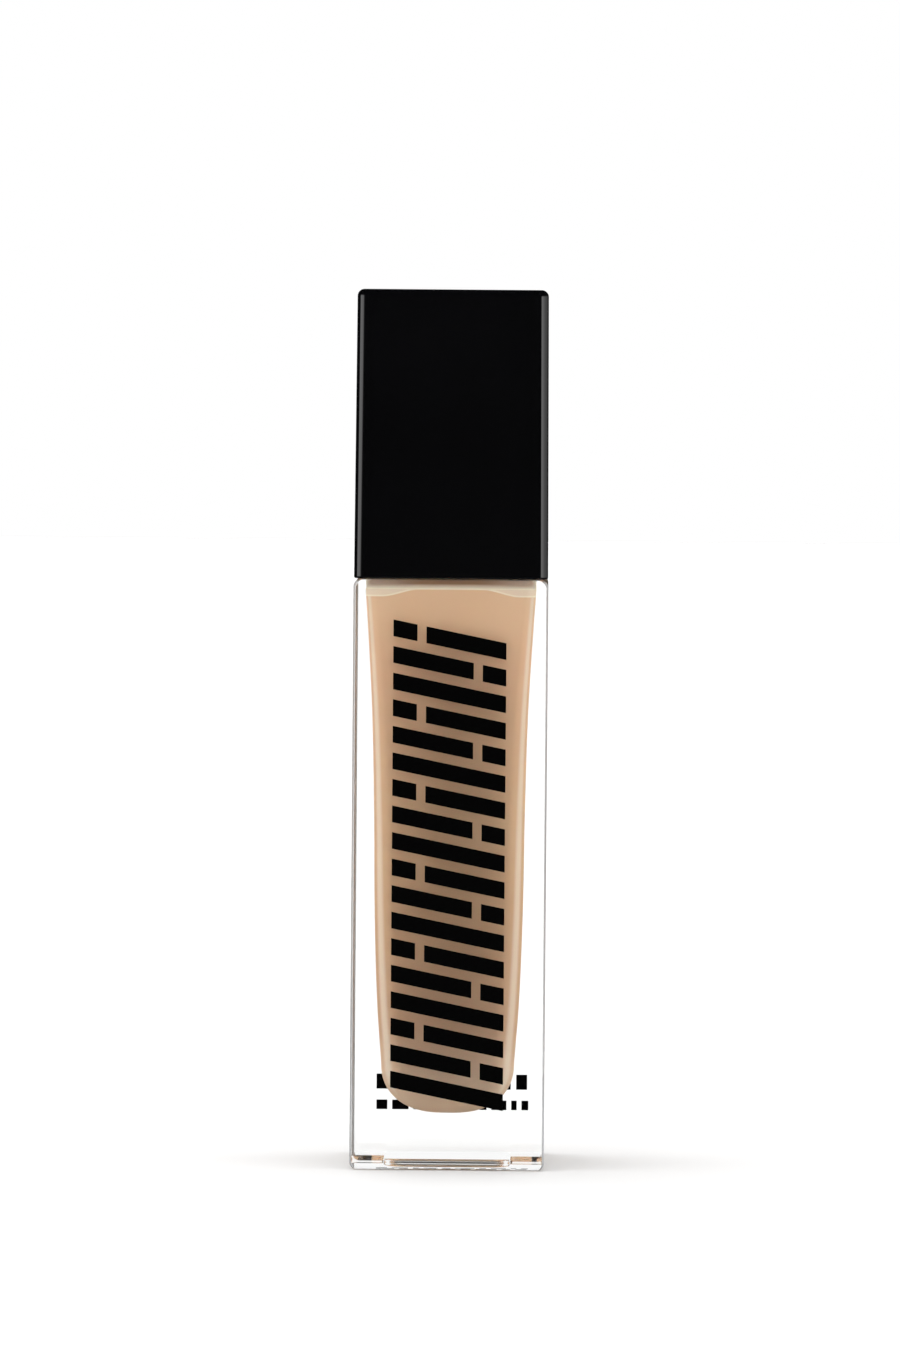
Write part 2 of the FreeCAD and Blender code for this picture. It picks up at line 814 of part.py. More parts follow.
def actuator_core():
    """Socket for the stem, the outlet channel and the nozzle, in one moulding."""
    flange_top = dims.core_flange_z + dims.core_flange_thickness
    core = turned("actuator_core", [
        (0, shell_low_z),
        (dims.post_radius, shell_low_z),
        (dims.post_radius, dims.core_flange_z),
        (dims.core_flange, dims.core_flange_z),
        (dims.core_flange, flange_top),
        (0, flange_top),
    ])
    spout = new_sketch(core, "SpoutSection", "XZ_Plane")
    circle(spout, 0, dims.nozzle_z, dims.nozzle_radius)
    pad(core, spout, "Spout", dims.nozzle_reach)
    mouth = new_sketch(core, "SpoutBore", "XZ_Plane")
    circle(mouth, 0, dims.nozzle_z, dims.nozzle_bore)
    pocket(core, mouth, "OutletWay", dims.nozzle_reach + 1)
    seat = new_sketch(core, "InsertSeat", "XZ_Plane", dims.nozzle_reach - dims.insert_length)
    circle(seat, 0, dims.nozzle_z, dims.insert_radius)
    pocket(core, seat, "InsertPocket", dims.insert_length + 1)
    revolve(core, "StemSocket", [
        (0, shell_low_z - 1),
        (dims.socket_fit, shell_low_z - 1),
        (dims.socket_fit, dims.stem_top_z + dims.running_gap),
        (dims.stem_bore, dims.stem_top_z + dims.running_gap),
        (dims.stem_bore, dims.nozzle_z),
        (0, dims.nozzle_z),
    ], "PartDesign::Groove")
    return core


def actuator_shell():
    """Outer shell with a shallow finger dish and a window for the nozzle."""
    inner = dims.shell_radius - dims.shell_wall
    roof = dims.core_flange_z + dims.core_flange_thickness + dims.running_gap
    shell = turned("actuator_shell", [
        (inner, shell_low_z),
        (dims.shell_radius, shell_low_z),
        (dims.shell_radius, shell_top_z),
        (dims.shell_radius - dims.shell_rim, shell_top_z),
        (0, shell_top_z - dims.shell_dish),
        (0, roof),
        (inner, roof),
    ])
    outer = dims.shell_radius.value
    fillet(shell, "ShellRound", dims.shell_round, level(shell_top_z.value, outer, outer))
    window = new_sketch(shell, "NozzleWindow", "XZ_Plane")
    circle(window, 0, dims.nozzle_z, dims.nozzle_window)
    pocket(shell, window, "WindowCut", dims.shell_radius + 1)
    return shell


def nozzle_insert():
    insert = new_body("nozzle_insert")
    section = new_sketch(
        insert, "InsertSection", "XZ_Plane",
        dims.nozzle_reach - dims.insert_length + dims.running_gap)
    circle(section, 0, dims.nozzle_z, dims.insert_radius - dims.running_gap)
    circle(section, 0, dims.nozzle_z, dims.orifice_radius)
    pad(insert, section, "InsertTube", dims.insert_length - dims.running_gap)
    return insert


# ---------------------------------------------------------------- cap


def cap_shell():
    shell = new_body("cap_shell")
    plan = new_sketch(shell, "CapPlan", "XY_Plane", cap_low_z)
    half = dims.cap_half_low
    polygon(plan, [(-half, -half), (half, -half), (half, half), (-half, half)])
    block = pad(shell, plan, "CapBlock", dims.cap_height)
    draft = shell.newObject("PartDesign::Draft", "CapDraft")
    sides, floors = [], []
    for number, face in enumerate(block.Shape.Faces, start=1):
        if abs(face.normalAt(0, 0).z) < 0.5:
            sides.append("Face%d" % number)
        elif face.BoundBox.ZMax < cap_low_z.value + 1:
            floors.append("Face%d" % number)
    draft.Base = (block, sides)
    draft.NeutralPlane = (block, floors)
    bind(draft, "Angle", dims.cap_draft)
    doc.recompute()
    fillet(shell, "CapCornerRound", dims.cap_corner, upright(10))
    fillet(shell, "CapTopRound", dims.cap_top_round, level(cap_top_z.value))
    hollow = new_sketch(shell, "CapHollow", "XY_Plane", cap_low_z)
    rounded_square(hollow, dims.cap_inner_half, dims.cap_inner_corner)
    pocket(shell, hollow, "CapInside", dims.cap_height - dims.cap_top_wall)
    fillet(shell, "CapRimRound", dims.cap_rim_round, level(cap_low_z.value, half.value - 0.5))
    return shell


def cap_liner():
    """Square foot plate with a round tube that grips the pump's sleeve through small ribs."""
    low_z = cap_low_z + dims.liner_inset
    liner = new_body("cap_liner")
    plate = new_sketch(liner, "LinerPlate", "XY_Plane", low_z)
    rounded_square(plate, dims.liner_half, dims.liner_corner)
    circle(plate, 0, 0, dims.liner_bore)
    pad(liner, plate, "LinerFoot", dims.liner_plate)
    revolve(liner, "LinerTube", [
        (dims.liner_bore, low_z),
        (dims.liner_radius, low_z),
        (dims.liner_radius, low_z + dims.liner_height),
        (dims.liner_bore, low_z + dims.liner_height),
    ])
    rib = new_sketch(liner, "GripRib", "XY_Plane", low_z + dims.liner_plate)
    inner = dims.liner_bore - dims.grip_depth
    outer = dims.liner_bore + dims.grip_root
    polygon(rib, [
        (inner, -dims.grip_width / 2),
        (outer, -dims.grip_width / 2),
        (outer, dims.grip_width / 2),
        (inner, dims.grip_width / 2),
    ])
    grip = pad(liner, rib, "Grip", dims.liner_height - dims.liner_plate - 2)
    ring = liner.newObject("PartDesign::PolarPattern", "GripRing")
    ring.Originals = [grip]
    ring.Axis = (rib, ["N_Axis"])
    ring.Angle = 360.0
    bind(ring, "Occurrences", dims.grip_count)
    liner.Tip = ring
    doc.recompute()
    return liner


# ---------------------------------------------------------------- printed marks and label


def slanted_bar(sketch, left, right, low_z):
    """A parallelogram between two x values; its long sides fall towards +X."""
    left_z = low_z - (dims.bar_left + left) * dims.bar_slope
    right_z = low_z - (dims.bar_left + right) * dims.bar_slope
    polygon(sketch, [
        (left, left_z),
        (right, right_z),
        (right, right_z + dims.bar_thickness),
        (left, left_z + dims.bar_thickness),
    ])


def front_print():
    """Ink bars up the front face, in groups of one whole bar and two broken ones."""
    body = new_body("front_print")
    bars = new_sketch(body, "BarGroup", "XZ_Plane", dims.glass_half)
    left, right = -dims.bar_left, dims.bar_right
    slanted_bar(bars, left, right, dims.bar_low_z)
    breaks = (right / 2, left / 2)
    for step, middle in enumerate(breaks, start=1):
        low_z = dims.bar_low_z + dims.bar_pitch * step
        slanted_bar(bars, left, middle - dims.bar_break / 2, low_z)
        slanted_bar(bars, middle + dims.bar_break / 2, right, low_z)
    group = pad(body, bars, "Bars", dims.ink)
    rows = body.newObject("PartDesign::LinearPattern", "BarRows")
    rows.Originals = [group]
    rows.Direction = (bars, ["V_Axis"])
    groups = dims.bar_groups
    bind(rows, "Length", dims.bar_pitch * 3 * (groups - 1))
    bind(rows, "Occurrences", groups)
    body.Tip = rows
    doc.recompute()
    return body


def dash_row(sketch, low_z, height, widths, gap):
    """Upright dashes set side by side from the left edge of the print."""
    at = -dims.dash_left
    for width in widths:
        polygon(sketch, [
            (at, low_z),
            (at + width, low_z),
            (at + width, low_z + height),
            (at, low_z + height),
        ])
        at = at + width + gap


def back_print():
    """Two rows of ink dashes low on the back face."""
    body = new_body("back_print")
    rows = new_sketch(body, "DashRows", "XZ_Plane", -dims.glass_half)
    dash_row(rows, dims.dash_tall_z, dims.dash_tall, (2.6, 1.2, 3.4, 2.0, 1.4, 3.0, 1.2, 1.6), 0.8)
    dash_row(rows, dims.dash_small_z, dims.dash_small,
             (1.6, 2.4, 0.9, 2.0, 1.2, 2.8, 1.0, 2.2, 0.8, 1.0), 0.7)
    ink = pad(body, rows, "Dashes", dims.ink)
    ink.Reversed = True
    doc.recompute()
    return body


def base_label():
    label = new_body("base_label")
    plan = new_sketch(
        label, "LabelPlan", "XY_Plane",
        dims.punt_depth - dims.label_thickness - dims.running_gap)
    rounded_square(plan, dims.label_half, dims.label_corner)
    pad(label, plan, "LabelSheet", dims.label_thickness)
    return label


# ---------------------------------------------------------------- build, test and write

BUILDERS = [
    glass_bottle, foundation_fill, front_print, back_print, base_label,
    pump_housing, neck_gasket, turret_ring, dip_tube, ball_cage, check_ball, return_spring,
    stem_plug, pump_stem, piston,
    screw_closure, collar_sleeve,
    actuator_core, actuator_shell, nozzle_insert,
    cap_shell, cap_liner,
]

parts = [build() for build in BUILDERS]
doc.recompute()

for item in doc.Objects:
    if "Invalid" in item.State or "Error" in item.State:
        raise RuntimeError("%s did not recompute: %s" % (item.Name, item.State))

for item in parts:
    if item.Shape.isNull() or not item.Shape.isValid() or not item.Shape.Solids:
        raise RuntimeError("%s has no valid solid" % item.Label)

for item in parts:
    box = item.Shape.BoundBox
    print("%-16s %2d solids %9.2f mm3  x %7.2f %7.2f  y %7.2f %7.2f  z %7.2f %7.2f" % (
        item.Label, len(item.Shape.Solids), item.Shape.Volume,
        box.XMin, box.XMax, box.YMin, box.YMax, box.ZMin, box.ZMax))
    item.Shape.exportStep("parts/%s.step" % item.Label)
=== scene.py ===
import json
import math

import bmesh
import bpy
from mathutils import Matrix, Vector


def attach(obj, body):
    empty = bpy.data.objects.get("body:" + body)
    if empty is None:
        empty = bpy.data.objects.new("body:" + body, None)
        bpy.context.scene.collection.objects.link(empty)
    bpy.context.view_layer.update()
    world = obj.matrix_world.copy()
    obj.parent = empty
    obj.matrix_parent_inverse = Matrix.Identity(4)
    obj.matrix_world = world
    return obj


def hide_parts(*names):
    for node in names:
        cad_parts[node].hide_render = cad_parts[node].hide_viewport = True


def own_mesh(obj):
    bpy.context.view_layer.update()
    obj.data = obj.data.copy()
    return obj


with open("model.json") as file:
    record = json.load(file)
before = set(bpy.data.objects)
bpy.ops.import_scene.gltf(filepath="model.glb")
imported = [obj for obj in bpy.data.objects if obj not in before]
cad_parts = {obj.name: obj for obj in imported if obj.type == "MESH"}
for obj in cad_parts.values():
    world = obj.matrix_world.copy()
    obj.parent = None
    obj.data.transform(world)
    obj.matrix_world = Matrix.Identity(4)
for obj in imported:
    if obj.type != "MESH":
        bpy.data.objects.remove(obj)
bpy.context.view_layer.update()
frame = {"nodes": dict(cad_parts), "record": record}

MM = 0.001

# ---------------------------------------------------------------- camera

CAMERA_PLACE = Vector((13.08, -1226.0, 118.0)) * MM
CAMERA_YAW = 0.62       # degrees, turned left towards the bottle
CAMERA_PITCH = 2.203    # degrees, looking down
CAMERA_ROLL = 0.45      # degrees, the bottle's top leans right
CAMERA_LENS = 225.2     # mm on a 36 mm sensor


def make_camera():
    yaw, pitch, roll = (math.radians(angle) for angle in (CAMERA_YAW, CAMERA_PITCH, CAMERA_ROLL))
    ahead = Vector((-math.sin(yaw) * math.cos(pitch), math.cos(yaw) * math.cos(pitch),
                    -math.sin(pitch)))
    right = Vector((math.cos(yaw), math.sin(yaw), 0.0))
    up = right.cross(ahead)
    tilted_right = right * math.cos(roll) + up * math.sin(roll)
    tilted_up = up * math.cos(roll) - right * math.sin(roll)
    turn = Matrix((tilted_right, tilted_up, -ahead)).transposed()
    data = bpy.data.cameras.new("camera")
    data.lens = CAMERA_LENS
    data.sensor_width = 36.0
    data.clip_start = 0.05
    data.clip_end = 20.0
    camera = bpy.data.objects.new("camera", data)
    camera.matrix_world = Matrix.Translation(CAMERA_PLACE) @ turn.to_4x4()
    bpy.context.scene.collection.objects.link(camera)
    bpy.context.scene.camera = camera


# ---------------------------------------------------------------- node helpers


class Graph:
    """Short calls for building one node tree."""

    def __init__(self, tree):
        self.tree = tree
        tree.nodes.clear()

    def node(self, kind, **settings):
        node = self.tree.nodes.new(kind)
        for name, value in settings.items():
            setattr(node, name, value)
        return node

    def link(self, source, target):
        self.tree.links.new(source, target)

    def feed(self, socket, value):
        """Link a socket, or set a plain value."""
        if isinstance(value, bpy.types.NodeSocket):
            self.link(value, socket)
        else:
            socket.default_value = value

    def math(self, operation, first, second=0.0, clamp=False):
        node = self.node("ShaderNodeMath", operation=operation, use_clamp=clamp)
        self.feed(node.inputs[0], first)
        self.feed(node.inputs[1], second)
        return node.outputs[0]

    def ramp(self, value, stops):
        """Colour ramp from (position, grey or colour) stops."""
        node = self.node("ShaderNodeValToRGB")
        elements = node.color_ramp.elements
        while len(elements) < len(stops):
            elements.new(0.5)
        for element, (position, colour) in zip(elements, stops):
            element.position = position
            if not isinstance(colour, tuple):
                colour = (colour, colour, colour)
            element.color = (*colour, 1.0)
        self.feed(node.inputs[0], value)
        return node.outputs[0]

    def noise(self, scale, detail, stretch=None):
        place = self.node("ShaderNodeTexCoord").outputs["Object"]
        if stretch is not None:
            mapping = self.node("ShaderNodeMapping")
            mapping.inputs["Scale"].default_value = stretch
            self.link(place, mapping.inputs["Vector"])
            place = mapping.outputs[0]
        node = self.node("ShaderNodeTexNoise")
        node.inputs["Scale"].default_value = scale
        node.inputs["Detail"].default_value = detail
        self.link(place, node.inputs["Vector"])
        return node.outputs["Fac"]

    def bump(self, height, strength, distance):
        node = self.node("ShaderNodeBump")
        node.inputs["Strength"].default_value = strength
        node.inputs["Distance"].default_value = distance
        self.link(height, node.inputs["Height"])
        return node.outputs[0]


def new_surface(name, **inputs):
    """A material with one Principled shader; constants go straight on its sockets."""
    material = bpy.data.materials.new(name)
    material.use_nodes = True
    graph = Graph(material.node_tree)
    shader = graph.node("ShaderNodeBsdfPrincipled")
    output = graph.node("ShaderNodeOutputMaterial")
    graph.link(shader.outputs[0], output.inputs["Surface"])
    for socket, value in inputs.items():
        shader.inputs[socket.replace("_", " ")].default_value = value
    return material, graph, shader


def varied_roughness(graph, shader, fac, low, high):
    spread = graph.node("ShaderNodeMapRange")
    spread.inputs["From Min"].default_value = 0.3
    spread.inputs["From Max"].default_value = 0.7
    spread.inputs["To Min"].default_value = low
    spread.inputs["To Max"].default_value = high
    graph.link(fac, spread.inputs["Value"])
    graph.link(spread.outputs[0], shader.inputs["Roughness"])


# ---------------------------------------------------------------- materials


def clear_glass():
    material, graph, shader = new_surface(
        "clear_glass", Base_Color=(0.985, 0.992, 0.990, 1.0), Roughness=0.0, IOR=1.5)
    shader.inputs["Transmission Weight"].default_value = 1.0
    waves = graph.noise(90.0, 1.0, (1.0, 1.0, 0.35))
    graph.link(graph.bump(waves, 0.05, 0.0002), shader.inputs["Normal"])
    return material


def glass_edge_shade():
    """The upright edges, greyer and a little blurred: painted shade standing in for the dark lines
    that refraction makes along them.
    """
    material, graph, shader = new_surface("glass_edge_shade", IOR=1.5)
    shader.inputs["Transmission Weight"].default_value = 0.3
    grain = graph.noise(700.0, 2.0, (1.0, 1.0, 0.1))
    tone = graph.ramp(grain, [(0.3, (0.27, 0.275, 0.28)), (0.7, (0.35, 0.355, 0.36))])
    graph.link(tone, shader.inputs["Base Color"])
    varied_roughness(graph, shader, grain, 0.16, 0.28)
    return material


# Places of the painted highlight lines and painted shade on the liquid under the shoulder, in
# millimetres.
PAINTED_LINE_Z = 83.70          # where its rounded top begins; painted shade above, a painted highlight line along it
ARCH_Z = 82.68          # how low the second painted highlight line comes at the sides
ARCH_INNER = 4.5        # sideways distances between which that line falls
ARCH_OUTER = 10.0

PAINTED_HIGHLIGHT = (0.985, 0.87, 0.68)
BETWEEN_HIGHLIGHTS = (0.89, 0.73, 0.56)


def ramp_place(graph, height, level):
    """A ramp's position for a height: 0.4 at the level, and 0.8 for each millimetre above it."""
    off = graph.math("SUBTRACT", height, level)
    return graph.math("ADD", graph.math("MULTIPLY", off, 0.8), 0.4, True)


def smooth_range(graph, value, low, high, start=0.0, end=1.0):
    node = graph.node("ShaderNodeMapRange", interpolation_type="SMOOTHSTEP")
    for socket, number in (("From Min", low), ("From Max", high), ("To Min", start), ("To Max", end)):
        node.inputs[socket].default_value = number
    graph.link(value, node.inputs["Value"])
    return node.outputs[0]


def mix_colours(graph, share, first, second):
    node = graph.node("ShaderNodeMix", data_type="RGBA")
    graph.feed(node.inputs["Factor"], share)
    for socket, colour in ((node.inputs[6], first), (node.inputs[7], second)):
        graph.feed(socket, (*colour, 1.0) if isinstance(colour, tuple) else colour)
    return node.outputs[2]


def liquid_body(graph, height):
    """Peach near the top, beige lower down, and paler at the bottom of the bowl: painted light and
    shade by height, with slow swirls of random tone.
    """
    depth = graph.math("DIVIDE", height, 100.0)
    # Painted light and shade: the colour changes with height to stand in for how the light falls down
    # the liquid.
    height_shading = graph.ramp(depth, [
        (0.12, (0.805, 0.595, 0.425)), (0.20, (0.690, 0.450, 0.298)), (0.36, (0.715, 0.470, 0.296)),
        (0.50, (0.765, 0.520, 0.332)), (0.65, (0.798, 0.530, 0.345)), (0.72, (0.836, 0.548, 0.362)),
        (0.80, (0.868, 0.604, 0.398)),
    ])
    swirl = graph.ramp(graph.noise(34.0, 2.0, (1.0, 1.0, 0.45)), [
        (0.32, (0.955, 0.940, 0.915)), (0.68, (1.0, 1.0, 1.0)),
    ])
    node = graph.node("ShaderNodeMix", data_type="RGBA", blend_type="MULTIPLY")
    node.inputs["Factor"].default_value = 1.0
    graph.link(height_shading, node.inputs[6])
    graph.link(swirl, node.inputs[7])
    return node.outputs[2]


def foundation_liquid():
    """Opaque beige, with painted light on it: paler cream where its upright edges turn sideways, and
    painted highlight lines and painted shade under the shoulder.
    """
    material, graph, shader = new_surface("foundation", Roughness=0.5, IOR=1.05)
    scaled = graph.node("ShaderNodeVectorMath", operation="SCALE")
    scaled.inputs["Scale"].default_value = 1000.0
    graph.link(graph.node("ShaderNodeTexCoord").outputs["Object"], scaled.inputs[0])
    split = graph.node("ShaderNodeSeparateXYZ")
    graph.link(scaled.outputs[0], split.inputs[0])
    x, y, height = split.outputs
    lateral = graph.math("MINIMUM", graph.math("ABSOLUTE", x), graph.math("ABSOLUTE", y))

    facing = graph.node("ShaderNodeSeparateXYZ")
    graph.link(graph.node("ShaderNodeNewGeometry").outputs["Normal"], facing.inputs[0])
    turned = graph.math("MINIMUM", graph.math("ABSOLUTE", facing.outputs[0]),
                        graph.math("ABSOLUTE", facing.outputs[1]))
    # Painted light: paler cream where the surface turns sideways at the corners, standing in for the
    # extra light from the sides.
    edge = smooth_range(graph, turned, 0.44, 0.66)
    body = mix_colours(graph, graph.math("MULTIPLY", edge, 0.60), liquid_body(graph, height),
                       (0.92, 0.80, 0.65))

    # Painted highlights: two pale lines under the shoulder, the lower one arching down at the sides.
    arch = smooth_range(graph, lateral, ARCH_INNER, ARCH_OUTER, PAINTED_LINE_Z, ARCH_Z)
    arch_place = ramp_place(graph, height, arch)
    under = graph.ramp(arch_place, [
        (0.30, (0.90, 0.74, 0.56)), (0.345, PAINTED_HIGHLIGHT), (0.45, PAINTED_HIGHLIGHT), (0.51, BETWEEN_HIGHLIGHTS),
    ])
    # Painted shade above the upper line: brown where the cap shades the liquid's rounded top, paler
    # towards the sides.
    shade_place = ramp_place(graph, height, PAINTED_LINE_Z)
    over = graph.ramp(shade_place, [
        (0.31, BETWEEN_HIGHLIGHTS), (0.35, PAINTED_HIGHLIGHT), (0.44, PAINTED_HIGHLIGHT), (0.50, (0.93, 0.82, 0.64)),
        (0.62, (0.90, 0.77, 0.62)), (0.68, (0.80, 0.62, 0.46)), (0.73, (0.52, 0.32, 0.20)),
        (1.00, (0.48, 0.29, 0.17)),
    ])
    dark = graph.ramp(shade_place, [(0.66, 0.0), (0.73, 1.0)])
    sideways = smooth_range(graph, lateral, 3.0, 12.0)
    over = mix_colours(graph, graph.math("MULTIPLY", dark, sideways), over, (0.82, 0.64, 0.50))
    painted_shoulder_light = mix_colours(graph, graph.ramp(shade_place, [(0.27, 0.0), (0.31, 1.0)]), under, over)
    near_line = graph.ramp(arch_place, [(0.27, 0.0), (0.33, 1.0)])
    graph.link(mix_colours(graph, near_line, body, painted_shoulder_light), shader.inputs["Base Color"])
    shader.inputs["Subsurface Weight"].default_value = 0.15
    shader.inputs["Subsurface Radius"].default_value = (1.0, 0.55, 0.3)
    shader.inputs["Subsurface Scale"].default_value = 0.0010
    return material


def black_ink():
    material, graph, shader = new_surface(
        "black_ink", Base_Color=(0.0008, 0.0008, 0.0008, 1.0), IOR=1.45)
    shader.inputs["Specular IOR Level"].default_value = 0.2
    grain = graph.noise(9000.0, 2.0)
    varied_roughness(graph, shader, grain, 0.07, 0.12)
    graph.link(graph.bump(grain, 0.15, 0.000006), shader.inputs["Normal"])
    return material


def gloss_black():
    material, graph, shader = new_surface("black_gloss", IOR=1.49)
    tone = graph.ramp(graph.noise(40.0, 2.0), [
        (0.3, (0.0008, 0.0008, 0.0010)),
        (0.7, (0.0014, 0.0014, 0.0017)),
    ])
    graph.link(tone, shader.inputs["Base Color"])
    smear = graph.noise(120.0, 4.0, (1.0, 1.0, 0.4))
    varied_roughness(graph, shader, smear, 0.045, 0.085)
    graph.link(graph.bump(graph.noise(140.0, 1.0), 0.04, 0.00008), shader.inputs["Normal"])
    return material


def satin_plastic(name, dark, light, rough, grain_scale=2600.0):
    material, graph, shader = new_surface(name, IOR=1.49)
    tone = graph.ramp(graph.noise(300.0, 2.0), [(0.3, dark), (0.7, light)])
    graph.link(tone, shader.inputs["Base Color"])
    grain = graph.noise(grain_scale, 2.0)
    varied_roughness(graph, shader, grain, rough - 0.06, rough + 0.06)
    graph.link(graph.bump(grain, 0.25, 0.00001), shader.inputs["Normal"])
    return material


def anodised_black():
    material, graph, shader = new_surface("black_aluminium", Metallic=1.0)
    turning = graph.noise(900.0, 2.0, (0.15, 0.15, 12.0))
    tone = graph.ramp(turning, [(0.3, (0.020, 0.020, 0.022)), (0.7, (0.036, 0.036, 0.040))])
    graph.link(tone, shader.inputs["Base Color"])
    varied_roughness(graph, shader, turning, 0.22, 0.34)
    graph.link(graph.bump(turning, 0.12, 0.000012), shader.inputs["Normal"])
    return material


def bright_steel():
    material, graph, shader = new_surface("spring_steel", Metallic=1.0)
    drawn = graph.noise(1500.0, 2.0)
    tone = graph.ramp(drawn, [(0.3, (0.56, 0.56, 0.57)), (0.7, (0.68, 0.68, 0.68))])
    graph.link(tone, shader.inputs["Base Color"])
    varied_roughness(graph, shader, drawn, 0.16, 0.28)
    return material


def coated_paper():
    material, graph, shader = new_surface("label_paper", IOR=1.45)
    fibres = graph.noise(1800.0, 4.0)
    tone = graph.ramp(fibres, [(0.3, (0.66, 0.56, 0.44)), (0.7, (0.72, 0.62, 0.50))])
    graph.link(tone, shader.inputs["Base Color"])
    varied_roughness(graph, shader, fibres, 0.45, 0.6)
    graph.link(graph.bump(fibres, 0.2, 0.00002), shader.inputs["Normal"])
    return material


def make_materials():
    return {
        "clear_glass": clear_glass(),
        "glass_edge_shade": glass_edge_shade(),
        "foundation": foundation_liquid(),
        "black_ink": black_ink(),
        "label_paper": coated_paper(),
        "natural_plastic": satin_plastic(
            "natural_plastic", (0.52, 0.53, 0.53), (0.60, 0.61, 0.61), 0.36),
        "piston_plastic": satin_plastic(
            "piston_plastic", (0.78, 0.78, 0.76), (0.84, 0.84, 0.82), 0.42),
        "gasket_rubber": satin_plastic(
            "gasket_rubber", (0.60, 0.60, 0.59), (0.70, 0.70, 0.69), 0.7, 900.0),
        "spring_steel": bright_steel(),
        "black_moulding": satin_plastic(
            "black_moulding", (0.010, 0.010, 0.011), (0.015, 0.015, 0.016), 0.38),
        "black_aluminium": anodised_black(),
        "black_gloss": gloss_black(),
    }


def dress_nodes(materials):
    """Give every carried-over node the finish of its slot in the record."""
    slots = {part["node"]: part["material_slot"] for part in frame["record"]["subparts"]}
    for name, item in frame["nodes"].items():
        for slot in item.material_slots:
            slot.material = materials[slots[name]]


# ---------------------------------------------------------------- ring-built solids

# A profile is a list of rings: height, half width, corner radius and the tilt of the surface's
# outward normal above the horizontal, in degrees. Lengths are millimetres.

ARC_POINTS = 12
SIDE_POINTS = 14
RING_COUNT = 4 * (ARC_POINTS + SIDE_POINTS)


def square_outline(half, corner):
    """Points and flat normals round a rounded square, with points at the ends of each arc."""
    reach = half - corner
    outline = []
    for quarter in range(4):
        turn = math.radians(90 * quarter)
        for step in range(ARC_POINTS + 1):
            angle = math.radians(90 * step / ARC_POINTS)
            normal = Vector((math.cos(angle), math.sin(angle)))
            outline.append((Vector((reach, reach)) + normal * corner, normal, turn))
        for step in range(1, SIDE_POINTS):
            share = step / SIDE_POINTS
            normal = Vector((0.0, 1.0))
            outline.append((Vector((reach - 2 * reach * share, half)), normal, turn))
    placed = []
    for point, normal, turn in outline:
        spin = Matrix.Rotation(turn, 2)
        placed.append((spin @ point, spin @ normal))
    return placed


def round_outline(radius):
    placed = []
    for index in range(RING_COUNT):
        angle = 2 * math.pi * (index - ARC_POINTS / 2) / RING_COUNT + math.pi / 4
        normal = Vector((math.cos(angle), math.sin(angle)))
        placed.append((normal * radius, normal))
    return placed


def ring(height, half, corner, tilt):
    """Vertices and normals of one ring; a corner of None makes a circle."""
    outline = round_outline(half) if corner is None else square_outline(half, corner)
    slope = math.radians(tilt)
    out = []
    for point, normal in outline:
        place = Vector((point.x, point.y, height)) * MM
        out.append((place, Vector((
            normal.x * math.cos(slope), normal.y * math.cos(slope), math.sin(slope)))))
    return out


def bend(centre_half, centre_z, radius, start, end, steps, hollow=False):
    """Heights, half widths and tilts along an arc; a hollow arc is seen from its centre."""
    out = []
    for step in range(steps + 1):
        degrees = start + (end - start) * step / steps
        angle = math.radians(degrees)
        tilt = degrees + 180 if hollow else degrees
        out.append((centre_z + radius * math.sin(angle),
                    centre_half + radius * math.cos(angle), tilt))
    return out


def solid_from_rings(name, rings, first_pole, last_pole):
    """A closed solid: rings joined in order, with a pole at each end of the list."""
    points = [first_pole[0]]
    normals = [first_pole[1]]
    for one in rings:
        for place, normal in one:
            points.append(place)
            normals.append(normal)
    points.append(last_pole[0])
    normals.append(last_pole[1])
    faces = []
    last = len(points) - 1
    for layer in range(len(rings) - 1):
        low = 1 + layer * RING_COUNT
        high = low + RING_COUNT
        for index in range(RING_COUNT):
            after = (index + 1) % RING_COUNT
            faces.append((low + index, low + after, high + after, high + index))
    top = 1 + (len(rings) - 1) * RING_COUNT
    for index in range(RING_COUNT):
        after = (index + 1) % RING_COUNT
        faces.append((0, 1 + after, 1 + index))
        faces.append((top + index, top + after, last))
    data = bpy.data.meshes.new(name)
    data.from_pydata(points, [], faces)
    data.validate()
    data.shade_smooth()
    data.normals_split_custom_set_from_vertices(normals)
    piece = bpy.data.objects.new(name, data)
    bpy.context.scene.collection.objects.link(piece)
    return piece


# ---------------------------------------------------------------- chamber shape

# Sections of the chamber: height, half width, corner radius.
WALL = [
    (15.2, 9.50, 3.20),
    (24.0, 10.13, 2.98),
    (36.0, 10.55, 2.68),
    (52.0, 10.76, 2.28),
    (66.0, 11.12, 1.90),
    (78.5, 11.82, 1.55),
    (83.4, 12.16, 1.40),
]
FLOOR_Z = 7.65
BOWL_POWER = 2 / 2.3
ROOF_Z = 84.2
ROOF_ROUND = 0.8
ROOF_RISE = 0.25        # of the liquid, from the roof's edge to the throat
ROOF_SHARPENING = 0.25  # how fast the liquid's corners sharpen on the way in round that edge


